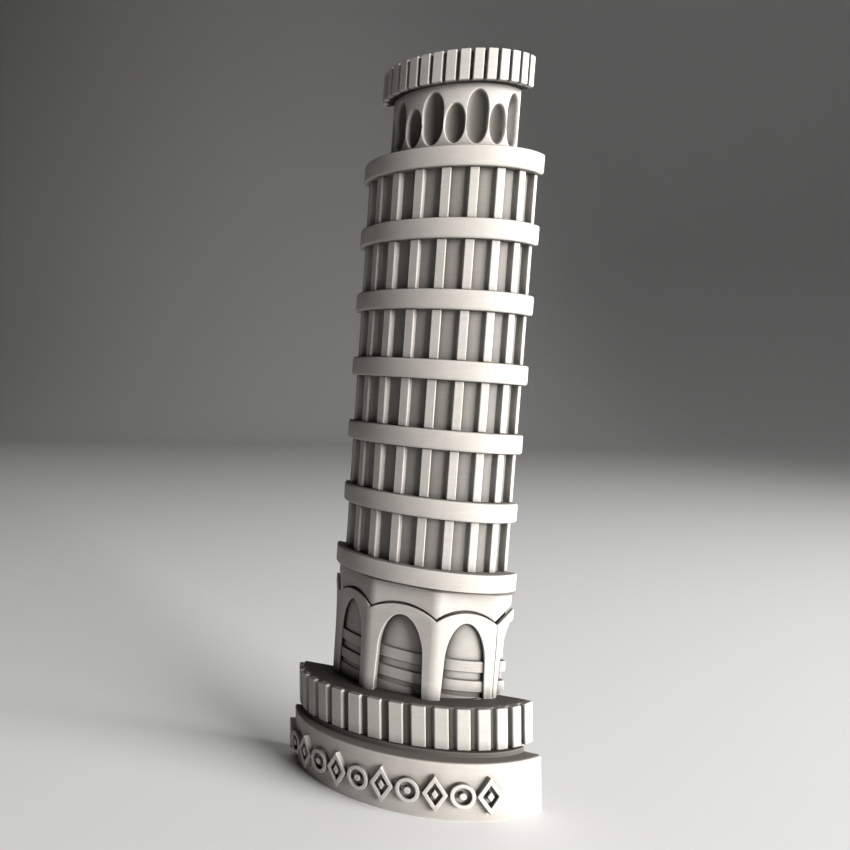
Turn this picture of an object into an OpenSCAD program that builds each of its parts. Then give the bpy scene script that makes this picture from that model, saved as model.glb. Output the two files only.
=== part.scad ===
// Flat-backed keepsake relief of a leaning bell tower on a stepped, level base.
// Millimetres, +Z up. The flat back is the plane Y = 0 and the front faces -Y.
// The origin is the middle of the bottom edge of the flat back.

/* [Tower] */
// radius of the gallery cornices, before the relief is flattened
cornice_r = 13.5; // [13.4:0.05:13.6]
// how far the tower leans toward +X, in degrees
lean = 4.92; // [4.5:0.05:5.2]
// depth of the relief as a share of a true round tower
squash = 0.531; // [0.52:0.005:0.54]
// distance of the tower axis behind the flat back
axis_back = 0.98; // [0.9:0.02:1.1]
// height of the point on the base the tower leans about
pivot_z = 8.59; // [8.4:0.05:8.8]

/* [Galleries] */
// height of the first gallery cornice above the pivot, along the axis
gallery_start = 29.85;
// spacing of the gallery cornices along the axis
gallery_pitch = 9.19;
// thickness of a gallery cornice
cornice_t = 2.65; // [2.5:0.05:2.8]
// rounding of the cornice edges
cornice_round = 0.35; // [0.2:0.05:0.5]
// radius of the drum behind the pilasters
drum_r = 11.65; // [11.4:0.05:11.8]
// radius to the face of the pilasters
pilaster_r = 12.7; // [12.5:0.05:12.9]
// width of a pilaster
pilaster_w = 1.35; // [1.2:0.05:1.5]

/* [Ground storey] */
// height of the top of the octagonal drum along the axis
octagon_top = 20.15; // [20.1:0.05:20.2]
// height of the bottom of the octagonal drum along the axis
octagon_bottom = 16.1; // [16:0.05:16.3]
// half width of an arch opening where the arch springs
arch_half_w = 3.4; // [3.2:0.05:3.5]
// height of the crown of an arch opening along the axis
arch_top = 16.15; // [15.8:0.05:16.3]
// stand-out of the courses round the core
band_out = 0.5; // [0.4:0.05:0.6]

/* [Belfry] */
// radius of the belfry drum
belfry_r = 9.6; // [9.5:0.05:9.8]
// depth of the belfry niches
niche_depth = 1.3; // [1.1:0.05:1.5]
// underside of the crown along the axis
crown_bottom = 87.1;
// top of the crown along the axis
crown_top = 91.05; // [90.8:0.05:91.4]
// outer radius of the crown blocks
crown_r = 11.4; // [11.2:0.05:11.6]
// depth of the grooves between crown blocks
crown_groove = 0.55; // [0.4:0.05:0.7]

/* [Base] */
// height of the plinth
plinth_h = 7.4; // [7.2:0.05:7.6]
// height of the underside of the balustrade
balustrade_bottom = 8.05; // [7.9:0.05:8.2]
// height of the top of the balustrade
balustrade_top = 13.55; // [13.4:0.05:13.7]
// outer radius of the balustrade blocks, before flattening
balustrade_r = 18.62; // [18.4:0.02:18.8]
// depth of the grooves between balustrade blocks
balustrade_groove = 0.75; // [0.5:0.05:0.9]
// stand-out of the frieze ornaments, before flattening
frieze_out = 1.0; // [0.7:0.05:1.2]
// height of a frieze ornament
frieze_h = 4.8; // [4.2:0.1:5]

/* [Hidden] */
$fn = 96;
big = 60;

// the first cornice, over the octagonal storey
first_top = 23.1;
first_bottom = 20.65;
first_r = 14.1;

// the back plane in the tower's round space
back_y = -axis_back / squash;

// corner radius and half width at the back of the arcade, of the drum over it and of its cap
shell_r = 13.43;
shell_end_x = 13.96;
drum_corner_r = 12.93;
drum_end_x = 13.5;
cap_corner_r = 13.4;
cap_end_x = 14.0;
// the octagon's first corner, and how far from each corner its faces start to fold
half_corner = 22.5;
corner_fold = 0.7;
end_face_angle = atan2(shell_end_x - shell_r * cos(half_corner), shell_r * sin(half_corner) + back_y);

// the arcade's openings: springing, foot width, and the narrower opening at each end
arch_spring = 10.4;
arch_foot_w = arch_half_w + 0.25;
arch_foot_z = 5;
end_arch_w = 2.6;
end_arch_foot_w = 2.7;
end_arch_spring = 8;
end_arch_top = 16.65;
// the scalloped top edge: valleys at the corners, peaks over the arches and at the back
scallop_low = 16.13;
scallop_high = 17.55;
scallop_w = shell_r * sin(half_corner);
end_scallop_high = 18.3;
end_scallop_w = 3.64;

// the core inside the arcade is flattened round a line further back than the tower
core_r = 13.68;
core_squash = 0.505;
core_back = 2.33;
band_r = core_r + band_out;

// the plinth and its neck reach the back plane in the middle and stop short of it at both ends
plinth_r = 20.73;
plinth_squash = 0.593;
plinth_x = 0.3;
plinth_back = 2.78;
end_back = -1.7;
full_depth_x = 16.5;
neck_r = 17.7;
neck_squash = 0.45;

balustrade_squash = 0.48;
balustrade_x = -0.55;
balustrade_y = 1.15;
block_step = 10.15;
block_first = 13.2;
block_count = 16;
block_w = 2.14;
first_block_w = 3.2;

pilaster_first = 10.3;
pilaster_step = 17.7;
pilaster_count = 10;

crown_block_first = 15.5;
crown_block_step = 9.73;
crown_block_count = 17;
crown_block_w = 1.44;

// the belfry and its niches, tall and short by turns
belfry_bottom = gallery_start + 5 * gallery_pitch + cornice_t;
niche_first = 20.4;
niche_step = 19.3;
niche_out = 0.2;
niche_end = 2.6;
tall_w = 1.75;
tall_low = belfry_bottom + 0.9;
tall_high = crown_bottom - 0.75;
short_w = 1.62;
short_low = belfry_bottom + 1.0;
short_high = crown_bottom - 2.45;

// the frieze ornaments: height of their middle, spacing, and widening of the spacing to the sides
frieze_z = 3.5;
frieze_step = 9.85;
frieze_spread = 0.018;
lozenge_w = 3.3;
lozenge_hole = [2.0, frieze_h - 1.9];
lozenge_boss = [0.9, 1.3];
roundel_r = 1.6;
roundel_hole_r = 1.08;
roundel_boss_r = 0.45;

// heights of cornice i (2 to 7) along the axis
function cornice_low(i) = gallery_start + (i - 2) * gallery_pitch;
function cornice_high(i) = i == 1 ? first_top : cornice_low(i) + cornice_t;

// a point at radius r and angle a round the front of the tower
function round_point(r, a) = [r * cos(a), -r * sin(a)];

// a soft corner at point 2 between points 1 and 3: a short fold in place of a sharp edge
function soft_corner(p1, p2, p3) = let(
    u = corner_fold * (p1 - p2) / norm(p1 - p2),
    w = corner_fold * (p3 - p2) / norm(p3 - p2)
) [p2 + u, p2 + 0.26 * (u + w), p2 + w];

// outline of the octagonal storey, front half, with splayed end faces that meet the back
function sharp_octagon(r, end_x) = concat(
    [[end_x, back_y]],
    [for (k = [0:3]) round_point(r, half_corner + 45 * k)],
    [[-end_x, back_y]]
);
function octagon(r, end_x) = let(p = sharp_octagon(r, end_x)) concat(
    [p[0]],
    [for (k = [1:4]) for (q = soft_corner(p[k - 1], p[k], p[k + 1])) q],
    [p[5]]
);

// one rounded corner of a ring profile: centre x, centre z, radius, start angle
function round_corner(x, z, r, a0) = [
    for (k = [0:4]) [x + r * cos(a0 + k * 22.5), z + r * sin(a0 + k * 22.5)]
];

// places the tower's own round space: flattened, leaning, behind the flat back
module tower_place() {
    translate([0, axis_back, pivot_z])
        rotate([0, lean, 0])
            scale([1, squash, 1])
                children();
}

// keeps what lies in front of the flat back, in the tower's round space
module tower_front() {
    intersection() {
        children();
        translate([-big, back_y - big, -20])
            cube([2 * big, big, 140]);
    }
}

// takes away everything below the level top of the balustrade
module above_walkway() {
    difference() {
        children();
        rotate([0, -lean, 0])
            translate([-big, -big, balustrade_top - pivot_z - 40])
                cube([2 * big, 2 * big, 40]);
    }
}

// a plain drum between two heights
module drum(r, z0, z1) {
    tower_place()
        tower_front()
            translate([0, 0, z0])
                cylinder(r = r, h = z1 - z0);
}

module cornice(i) {
    z0 = cornice_low(i);
    z1 = cornice_high(i);
    c = cornice_round;
    tower_place()
        tower_front()
            rotate_extrude()
                polygon(concat(
                    [[0, z0]],
                    round_corner(cornice_r - c, z0 + c, c, -90),
                    round_corner(cornice_r - c, z1 - c, c, 0),
                    [[0, z1]]
                ));
}

// the square-edged pilasters standing on the drum of storey i
module pilasters(i) {
    z0 = cornice_high(i);
    z1 = cornice_low(i + 1);
    tower_place()
        tower_front()
            difference() {
                for (j = [0:pilaster_count - 1])
                    rotate([0, 0, -pilaster_first - pilaster_step * j])
                        translate([drum_r - 1, -pilaster_w / 2, z0])
                            cube([pilaster_r - drum_r + 1, pilaster_w, z1 - z0]);
                translate([0, 0, z0 - 1])
                    cylinder(r = drum_r, h = z1 - z0 + 2);
            }
}

// the frame of one face of the arcade: x outward, y along the face, z up
module face(p, a) {
    translate([p[0], p[1], 0])
        rotate([0, 0, a])
            rotate([90, 0, 90])
                children();
}

// an arch opening: half width at the springing and at the foot, springing height, crown height
module arch(w, foot_w, spring, top) {
    translate([0, 0, -4])
        linear_extrude(6)
            union() {
                translate([0, spring])
                    scale([w, top - spring])
                        circle(1);
                polygon([
                    [-foot_w, -4], [foot_w, -4], [foot_w, arch_foot_z],
                    [w, spring], [-w, spring], [-foot_w, arch_foot_z]
                ]);
            }
}

// what is cut away above a scalloped top edge: half width, valley height, peak height
module above_scallop(w, low, high) {
    rise = high - low;
    r = (w * w + rise * rise) / (2 * rise);
    translate([0, 0, -1.6])
        linear_extrude(4)
            difference() {
                translate([-w, low])
                    square([2 * w, 5]);
                translate([0, high - r])
                    circle(r);
            }
}

// what is cut away above a straight edge that climbs from a corner to the back
module above_climb(w, low, high) {
    translate([0, 0, -1.6])
        linear_extrude(4)
            polygon([[-w, low], [0, high], [w, low], [w, low + 5], [-w, low + 5]]);
}

module all_faces() {
    mid = shell_r * cos(half_corner);
    for (a = [45, 90, 135])
        face(round_point(mid, a), -a)
            children(0);
    face([shell_end_x, back_y], -end_face_angle)
        children(1);
    face([-shell_end_x, back_y], end_face_angle - 180)
        children(1);
}

module arcade_shell() {
    color("tan")
        tower_place()
            tower_front()
                above_walkway()
                    difference() {
                        linear_extrude(end_scallop_high + 0.2)
                            polygon(octagon(shell_r, shell_end_x));
                        translate([0, 0, -1])
                            linear_extrude(octagon_bottom + 1)
                                translate([0, (core_back - axis_back) / squash])
                                    scale([1, core_squash / squash])
                                        circle(band_r);
                        translate([0, 0, octagon_bottom - 0.01])
                            linear_extrude(6)
                                polygon(octagon(drum_corner_r, drum_end_x));
                        all_faces() {
                            arch(arch_half_w, arch_foot_w, arch_spring, arch_top);
                            arch(end_arch_w, end_arch_foot_w, end_arch_spring, end_arch_top);
                        }
                        all_faces() {
                            above_scallop(scallop_w, scallop_low, scallop_high);
                            above_climb(end_scallop_w, scallop_low, end_scallop_high);
                        }
                    }
}

// places the round space of the core inside the arcade
module core_place() {
    translate([0, core_back, pivot_z])
        rotate([0, lean, 0])
            scale([1, core_squash, 1])
                intersection() {
                    above_walkway()
                        children();
                    translate([-big, -core_back / core_squash - big, -20])
                        cube([2 * big, big, 140]);
                }
}

module ground_core() {
    color("tan")
        core_place()
            cylinder(r = core_r, h = octagon_bottom);
}

// one course round the core, from a profile of [radius, height] points
module band(profile) {
    color("wheat")
        core_place()
            rotate_extrude()
                polygon(profile);
}

module ground_band_1() {
    band([[core_r, 9.45], [band_r, 9.45], [band_r, 10.95], [core_r, 11.1]]);
}

module ground_band_2() {
    band([[core_r, 6.75], [band_r, 6.75], [band_r, 8.25], [core_r, 8.4]]);
}

module ground_band_3() {
    band([[core_r, 0], [band_r, 0], [band_r, 5.3], [core_r + 0.2, 6.05], [core_r, 6.05]]);
}

module octagon_drum() {
    color("wheat")
        tower_place()
            tower_front()
                translate([0, 0, octagon_bottom])
                    linear_extrude(octagon_top - octagon_bottom)
                        polygon(octagon(drum_corner_r, drum_end_x));
}

module octagon_cap() {
    color("tan")
        tower_place()
            tower_front()
                translate([0, 0, octagon_top])
                    linear_extrude(first_bottom - octagon_top)
                        polygon(octagon(cap_corner_r, cap_end_x));
}

module cornice_1() {
    color("wheat")
        drum(first_r, first_bottom, first_top);
}

module cornice_2() { color("wheat") cornice(2); }
module cornice_3() { color("wheat") cornice(3); }
module cornice_4() { color("wheat") cornice(4); }
module cornice_5() { color("wheat") cornice(5); }
module cornice_6() { color("wheat") cornice(6); }
module cornice_7() { color("wheat") cornice(7); }

module gallery_drum(i) {
    color("tan")
        drum(drum_r, cornice_high(i), cornice_low(i + 1));
}

module gallery_drum_1() { gallery_drum(1); }
module gallery_drum_2() { gallery_drum(2); }
module gallery_drum_3() { gallery_drum(3); }
module gallery_drum_4() { gallery_drum(4); }
module gallery_drum_5() { gallery_drum(5); }
module gallery_drum_6() { gallery_drum(6); }

module gallery_pilasters_1() { color("wheat") pilasters(1); }
module gallery_pilasters_2() { color("wheat") pilasters(2); }
module gallery_pilasters_3() { color("wheat") pilasters(3); }
module gallery_pilasters_4() { color("wheat") pilasters(4); }
module gallery_pilasters_5() { color("wheat") pilasters(5); }
module gallery_pilasters_6() { color("wheat") pilasters(6); }

// a scooped niche at angle a: half width, lower and upper end
module niche(a, w, z0, z1) {
    deep = niche_depth + niche_out;
    straight = z1 - z0 - 2 * niche_end;
    rotate([0, 0, -a])
        translate([belfry_r + niche_out, 0, z0 + niche_end]) {
            for (z = [0, straight])
                translate([0, 0, z])
                    scale([deep, w, niche_end])
                        sphere(1);
            if (straight > 0)
                scale([deep, w, 1])
                    cylinder(r = 1, h = straight);
        }
}

module belfry_drum() {
    color("wheat")
        tower_place()
            tower_front()
                difference() {
                    translate([0, 0, belfry_bottom])
                        cylinder(r = belfry_r, h = crown_bottom - belfry_bottom);
                    for (j = [0:3])
                        niche(niche_first + 2 * j * niche_step, tall_w, tall_low, tall_high);
                    for (j = [0:3])
                        niche(niche_first + (2 * j + 1) * niche_step, short_w, short_low, short_high);
                }
}

module crown_ring() {
    color("tan")
        tower_place()
            tower_front()
                translate([0, 0, crown_bottom])
                    cylinder(r = crown_r - crown_groove, h = crown_top - crown_bottom);
}

module crown_blocks() {
    r = crown_r - crown_groove;
    h = crown_top - crown_bottom;
    color("wheat")
        tower_place()
            tower_front()
                difference() {
                    for (j = [0:crown_block_count - 1])
                        rotate([0, 0, -crown_block_first - crown_block_step * j])
                            translate([r - 1, -crown_block_w / 2, crown_bottom])
                                cube([crown_groove + 1, crown_block_w, h]);
                    translate([0, 0, crown_bottom - 1])
                        cylinder(r = r, h = h + 2);
                }
}

// places a level piece of the base: its middle, and its flattening
module base_place(x, y, k) {
    translate([x, y, 0])
        scale([1, k, 1])
            children();
}

// keeps what lies in front of world Y = back, inside base_place with the same y and k
module base_front(y, k, back) {
    intersection() {
        children();
        translate([-big, (back - y) / k - big, -1])
            cube([2 * big, big, 40]);
    }
}

// a course that reaches the back plane in the middle and stops short of it at both ends
module stepped_back(z0, z1) {
    intersection() {
        children();
        translate([0, 0, z0])
            linear_extrude(z1 - z0)
                polygon([
                    [full_depth_x, 0], [full_depth_x, end_back], [big, end_back], [big, -big],
                    [-big, -big], [-big, end_back], [-full_depth_x, end_back], [-full_depth_x, 0]
                ]);
    }
}

module plinth() {
    color("wheat")
        stepped_back(0, plinth_h)
            base_place(plinth_x, plinth_back, plinth_squash)
                translate([0, 0, -1])
                    cylinder(r = plinth_r, h = plinth_h + 2);
}

module neck() {
    color("tan")
        stepped_back(plinth_h, balustrade_bottom)
            base_place(0, 0, neck_squash)
                cylinder(r = neck_r, h = balustrade_bottom + 1);
}

// angle on the plinth of frieze ornament i, wider apart toward the sides
function frieze_angle(i) = -90 + i * (frieze_step + frieze_spread * i * i);
// widening that undoes the flattening along the face at angle a
function frieze_wide(a) = 1 / sqrt(pow(sin(a), 2) + pow(plinth_squash * cos(a), 2));

// places an ornament drawn flat on the curved face of the plinth at angle a
module on_plinth(a) {
    rotate([0, 0, a])
        translate([plinth_r - 3, 0, frieze_z])
            rotate([90, 0, 90])
                linear_extrude(6)
                    scale([frieze_wide(a), 1])
                        children();
}

// trims the ornaments to the layer standing out from the plinth face
module frieze_layer() {
    base_place(plinth_x, plinth_back, plinth_squash)
        base_front(plinth_back, plinth_squash, end_back)
            difference() {
                intersection() {
                    union()
                        children();
                    cylinder(r = plinth_r + frieze_out, h = plinth_h);
                }
                translate([0, 0, -1])
                    cylinder(r = plinth_r, h = plinth_h + 2);
            }
}

module lozenge(w, h) {
    polygon([[w / 2, 0], [0, h / 2], [-w / 2, 0], [0, -h / 2]]);
}

module frieze_lozenges() {
    color("wheat")
        frieze_layer()
            for (i = [-6:2:4])
                on_plinth(frieze_angle(i)) {
                    difference() {
                        lozenge(lozenge_w, frieze_h);
                        lozenge(lozenge_hole[0], lozenge_hole[1]);
                    }
                    lozenge(lozenge_boss[0], lozenge_boss[1]);
                }
}

module frieze_roundels() {
    color("wheat")
        frieze_layer()
            for (i = [-5:2:3])
                on_plinth(frieze_angle(i)) {
                    difference() {
                        circle(roundel_r);
                        circle(roundel_hole_r);
                    }
                    circle(roundel_boss_r);
                }
}

module balustrade_ring() {
    color("tan")
        base_place(balustrade_x, balustrade_y, balustrade_squash)
            base_front(balustrade_y, balustrade_squash, 0)
                translate([0, 0, balustrade_bottom])
                    cylinder(r = balustrade_r - balustrade_groove, h = balustrade_top - balustrade_bottom);
}

// the first block runs on to the back plane
module balustrade_blocks() {
    h = balustrade_top - balustrade_bottom;
    r = balustrade_r - balustrade_groove;
    color("wheat")
        base_place(balustrade_x, balustrade_y, balustrade_squash)
            base_front(balustrade_y, balustrade_squash, 0)
                translate([0, 0, balustrade_bottom])
                    difference() {
                        for (j = [0:block_count - 1])
                            rotate([0, 0, -block_first - block_step * j])
                                translate([r - 1, -block_w / 2, 0])
                                    cube([balustrade_groove + 1, j == 0 ? first_block_w : block_w, h]);
                        translate([0, 0, -1])
                            cylinder(r = r, h = h + 2);
                    }
}

plinth();
frieze_lozenges();
frieze_roundels();
neck();
balustrade_ring();
balustrade_blocks();
ground_core();
ground_band_1();
ground_band_2();
ground_band_3();
arcade_shell();
octagon_drum();
octagon_cap();
cornice_1();
cornice_2();
cornice_3();
cornice_4();
cornice_5();
cornice_6();
cornice_7();
gallery_drum_1();
gallery_drum_2();
gallery_drum_3();
gallery_drum_4();
gallery_drum_5();
gallery_drum_6();
gallery_pilasters_1();
gallery_pilasters_2();
gallery_pilasters_3();
gallery_pilasters_4();
gallery_pilasters_5();
gallery_pilasters_6();
belfry_drum();
crown_ring();
crown_blocks();
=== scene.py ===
from math import asin, atan2, cos, hypot, pi, radians, sin, sqrt, tan

import bmesh
import bpy
from mathutils import Matrix, Vector


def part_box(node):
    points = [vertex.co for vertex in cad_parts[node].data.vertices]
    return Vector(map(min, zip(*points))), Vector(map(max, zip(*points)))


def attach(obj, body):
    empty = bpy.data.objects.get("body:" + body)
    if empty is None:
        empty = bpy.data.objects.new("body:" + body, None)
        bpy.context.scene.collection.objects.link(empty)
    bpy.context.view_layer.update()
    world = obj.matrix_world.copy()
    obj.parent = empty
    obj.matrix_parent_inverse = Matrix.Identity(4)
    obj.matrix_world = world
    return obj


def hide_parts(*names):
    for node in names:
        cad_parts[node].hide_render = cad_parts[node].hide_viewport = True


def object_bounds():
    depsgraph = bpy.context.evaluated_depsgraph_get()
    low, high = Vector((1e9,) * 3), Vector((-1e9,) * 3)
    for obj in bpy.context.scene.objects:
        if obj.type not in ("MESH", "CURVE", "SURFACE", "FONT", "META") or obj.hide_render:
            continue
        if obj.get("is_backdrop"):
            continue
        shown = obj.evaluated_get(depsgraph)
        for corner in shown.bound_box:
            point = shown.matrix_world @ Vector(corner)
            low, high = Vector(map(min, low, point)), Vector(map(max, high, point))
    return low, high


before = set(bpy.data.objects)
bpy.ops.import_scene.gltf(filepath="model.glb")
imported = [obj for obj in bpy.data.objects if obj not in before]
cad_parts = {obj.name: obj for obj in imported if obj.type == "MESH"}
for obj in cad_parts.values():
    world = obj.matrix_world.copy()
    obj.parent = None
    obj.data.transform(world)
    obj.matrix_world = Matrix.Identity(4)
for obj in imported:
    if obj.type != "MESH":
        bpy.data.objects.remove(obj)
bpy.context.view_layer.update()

# %% [markdown]
# The keepsake is a relief: a round bell tower that has been squeezed front to back and cut off
# flat behind its axis, so that it can stand on a shelf or be stuck to a door. The base is level
# and the tower above it leans. It's easiest to draw every course as if the tower were still
# round and upright, and to let one small function lean and flatten each point on its way into
# the scene. The numbers here are the same driving sizes, in millimetres, as the solid model's.

# %% The lean and the flattening
MM = 0.001
LEAN = radians(4.92)
SQUASH = 0.531
AXIS_BACK = 0.98
PIVOT_Z = 8.59
TOWER_BACK = AXIS_BACK / SQUASH


def leaning(u, y, s):
    """A point u across and s up along the leaning axis, at depth y, in metres."""
    return Vector((u * cos(LEAN) + s * sin(LEAN), y, PIVOT_Z - u * sin(LEAN) + s * cos(LEAN))) * MM


def tower(u, v, s):
    """A point of the round, upright tower (u across, v to the viewer, s up) in the leaning relief."""
    return leaning(u, AXIS_BACK - SQUASH * v, s)


CORE_BACK = 2.33
CORE_SQUASH = 0.505


def core(u, v, s):
    """The same for the core behind the arcade, which is flattened round a line further back."""
    return leaning(u, CORE_BACK - CORE_SQUASH * v, s)


def level(x, y, squash):
    """A placing function for a level piece whose round outline is centred at x, y."""
    def place(u, v, z):
        return Vector((x + u, y - squash * v, z)) * MM
    return place


CROWN_TOP = 91.05
print("the crown stands", round(CROWN_TOP * sin(LEAN), 1), "mm to the side of the base")

# %% [markdown]
# Three kinds of shape cover almost the whole tower: half-round courses turned from a profile,
# rows of square-edged blocks standing round a drum, and flat-backed solids cut by one plane.
# Each helper below builds its faces directly, so the edges are clean and a bevel modifier can
# ease them by about a tenth of a millimetre, as a mould or a printer would leave them. Pieces
# without a bevel would be shaded round where a curve meets a flat, so the edges of their flat
# backs and ends are marked as crisp.

# %% Helpers: finishing a mesh
CRISP_ANGLE = radians(30)
FACES_BACK = 0.99


def is_flat_end(face):
    """Whether a face is the flat back, or a many-sided end of a course."""
    return face.normal.y > FACES_BACK or len(face.verts) > 4


def keep_flats_crisp(bm):
    """Marks the edges round the flat back and the flat ends, which smooth shading would round off."""
    bm.normal_update()
    for edge in bm.edges:
        if any(map(is_flat_end, edge.link_faces)) and edge.calc_face_angle(0) > CRISP_ANGLE:
            edge.smooth = False


def to_object(name, bm, bevel=0.12, segments=3, angle=28):
    """Turns the built faces into a smooth-shaded object with slightly eased edges."""
    bmesh.ops.recalc_face_normals(bm, faces=bm.faces)
    if not bevel:
        keep_flats_crisp(bm)
    mesh = bpy.data.meshes.new(name)
    bm.to_mesh(mesh)
    bm.free()
    piece = bpy.data.objects.new(name, mesh)
    bpy.context.scene.collection.objects.link(piece)
    for face in mesh.polygons:
        face.use_smooth = True
    if bevel:
        ease = piece.modifiers.new("eased edges", "BEVEL")
        ease.width = bevel * MM
        ease.segments = segments
        ease.limit_method = "ANGLE"
        ease.angle_limit = radians(angle)
        ease.use_clamp_overlap = False
        ease.harden_normals = True
    return piece


def cut_off(bm, spot, away):
    """Takes off whatever lies past the plane through spot, in the direction away, and closes the cut."""
    everything = list(bm.verts) + list(bm.edges) + list(bm.faces)
    bmesh.ops.bisect_plane(bm, geom=everything, dist=1e-8, plane_co=spot, plane_no=away, clear_outer=True)
    open_edges = [e for e in bm.edges if e.is_boundary]
    if open_edges:
        bmesh.ops.holes_fill(bm, edges=open_edges, sides=0)


def cut_flat_back(bm, back=0):
    """Takes off whatever lies behind the plane at Y = back mm."""
    cut_off(bm, (0, back * MM, 0), (0, 1, 0))


def stand_for(piece, node):
    """The piece rides on the one body, takes the place of its CAD node, and is checked against it."""
    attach(piece, "root")
    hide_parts(node)
    bpy.context.view_layer.update()
    low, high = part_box(node)
    graph = bpy.context.evaluated_depsgraph_get()
    shape = piece.evaluated_get(graph)
    sides = [[corner[i] for corner in shape.bound_box] for i in range(3)]
    gap = max(max(abs(min(side) - a), abs(max(side) - b)) for side, a, b in zip(sides, low, high))
    print(f"{piece.name}: {len(shape.data.polygons)} faces, within {gap * 1000:.2f} mm of its node's box")
    return piece


# %% Helpers: turned courses and rows of blocks
def eased(r, low, high, ease, steps=5):
    """The profile of a plain course of radius r whose lower and upper edges are rounded by ease."""
    turns = [pi / 2 * k / steps for k in range(steps + 1)]
    bottom = [(r - ease + ease * sin(a), low + ease - ease * cos(a)) for a in turns]
    upper = [(r - ease + ease * cos(a), high - ease + ease * sin(a)) for a in turns]
    return bottom + upper


def swept_rows(bm, profile, place, back, steps):
    """One row of points from flat back to flat back for each (radius, height) of the profile."""
    rows = []
    for r, h in profile:
        first = asin(back / r)
        sweep = [first + (pi - 2 * first) * k / steps for k in range(steps + 1)]
        rows.append([bm.verts.new(place(r * cos(a), r * sin(a), h)) for a in sweep])
    return rows


def half_ring(bm, outline, place, back, steps=150):
    """A half-round band laid round a drum: outline is its closed section in (radius, height) points."""
    rows = swept_rows(bm, outline, place, back, steps)
    for lower, upper in zip(rows, rows[1:] + rows[:1]):
        for k in range(steps):
            bm.faces.new((lower[k], lower[k + 1], upper[k + 1], upper[k]))
    bm.faces.new([row[0] for row in rows])
    bm.faces.new([row[-1] for row in reversed(rows)])


def close_rows(bm, rows):
    """Joins rows of points, one above the other, into a solid with a flat back and two flat ends."""
    for lower, upper in zip(rows, rows[1:]):
        for k in range(len(lower) - 1):
            bm.faces.new((lower[k], lower[k + 1], upper[k + 1], upper[k]))
        bm.faces.new((lower[0], upper[0], upper[-1], lower[-1]))
    bm.faces.new(rows[0])
    bm.faces.new(reversed(rows[-1]))


def half_round(bm, profile, place, back, steps=150):
    """A half-round course: profile is (radius, height) points from bottom to top, back is its flat side."""
    close_rows(bm, swept_rows(bm, profile, place, back, steps))


def block(bm, place, angle, half_width, inner, outer, low, high, toward_back=0):
    """An upright square-edged block at an angle round a drum, from its inner to its outer face."""
    ca, sa = cos(angle), sin(angle)

    def corner(r, side, h):
        return bm.verts.new(place(r * ca - side * sa, r * sa + side * ca, h))

    near = -half_width - toward_back
    rim = [(inner, near), (outer, near), (outer, half_width), (inner, half_width)]
    bottom = [corner(r, side, low) for r, side in rim]
    top = [corner(r, side, high) for r, side in rim]
    bm.faces.new(bottom)
    bm.faces.new(reversed(top))
    for k in range(4):
        bm.faces.new((bottom[k], bottom[(k + 1) % 4], top[(k + 1) % 4], top[k]))


print("helpers ready")

# %% [markdown]
# The camera is at the height of the fourth gallery, close in and to the tower's right, which is
# why the cornices below it curve down and those above it curve up. It looks almost level, with
# a wide lens.

# %% The camera
CAMERA_TURN = radians(24.2)
CAMERA_DOWN = 0.016
CAMERA_ROLL = -0.0081
camera_place = Vector((40.5, -84.5, 51.8)) * MM

ahead = Vector((-sin(CAMERA_TURN), cos(CAMERA_TURN), 0))
forward = ahead * cos(CAMERA_DOWN) - Vector((0, 0, sin(CAMERA_DOWN)))
across = Vector((cos(CAMERA_TURN), sin(CAMERA_TURN), 0))
up = across.cross(forward)
right = cos(CAMERA_ROLL) * across + sin(CAMERA_ROLL) * up
top = -sin(CAMERA_ROLL) * across + cos(CAMERA_ROLL) * up

SENSOR_WIDTH, LENS = 36, 27.6
camera_data = bpy.data.cameras.new("camera")
camera_data.sensor_width = SENSOR_WIDTH
camera_data.lens = LENS
camera_data.clip_start = 0.005
camera_data.clip_end = 10
camera = bpy.data.objects.new("camera", camera_data)
turned = Matrix((right, top, -forward)).transposed().to_4x4()
camera.matrix_world = Matrix.Translation(camera_place) @ turned
bpy.context.scene.collection.objects.link(camera)
bpy.context.scene.camera = camera
print("camera", round(camera_place.length * 1000), "mm from the origin")

# %% [markdown]
# The finish is one material everywhere: a matt, warm grey cast stone. Up close it isn't one flat
# colour. Fine level lines run across every face, there is a mottle a few millimetres wide and a
# grain a tenth of a millimetre wide, and the raised edges are rubbed paler. Shade is painted into
# the colour in three kinds of place: in recesses, on ledges that face up, and in the belfry's
# niches, which carry their depth as a vertex attribute called hollow. All of that is one node
# group, so that each course can use it with its own strengths. The gallery walls and the grooves
# between the courses use two darker copies of it, painted shade for where they lie in shadow.

# %% The cast stone group
def new_group(name, inputs, outputs):
    """An empty shader node group with named inputs (name, kind, start value) and outputs."""
    group = bpy.data.node_groups.new(name, "ShaderNodeTree")
    for label, kind, start in inputs:
        socket = group.interface.new_socket(label, in_out="INPUT", socket_type=kind)
        socket.default_value = start
    for label, kind in outputs:
        group.interface.new_socket(label, in_out="OUTPUT", socket_type=kind)
    return group, group.nodes.new("NodeGroupInput"), group.nodes.new("NodeGroupOutput")


def node(tree, kind, **settings):
    """A node with its settings; keys that name an input socket set that socket's value."""
    made = tree.nodes.new(kind)
    for key, value in settings.items():
        if hasattr(made, key):
            setattr(made, key, value)
        else:
            made.inputs[key].default_value = value
    return made


def maths(tree, operation, a, b=None, clamp=False):
    """One arithmetic step; a and b are sockets or numbers."""
    made = tree.nodes.new("ShaderNodeMath")
    made.operation = operation
    made.use_clamp = clamp
    for socket, value in zip(made.inputs, (a, b)):
        if isinstance(value, (int, float)):
            socket.default_value = value
        elif value is not None:
            tree.links.new(value, socket)
    return made.outputs[0]


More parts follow.
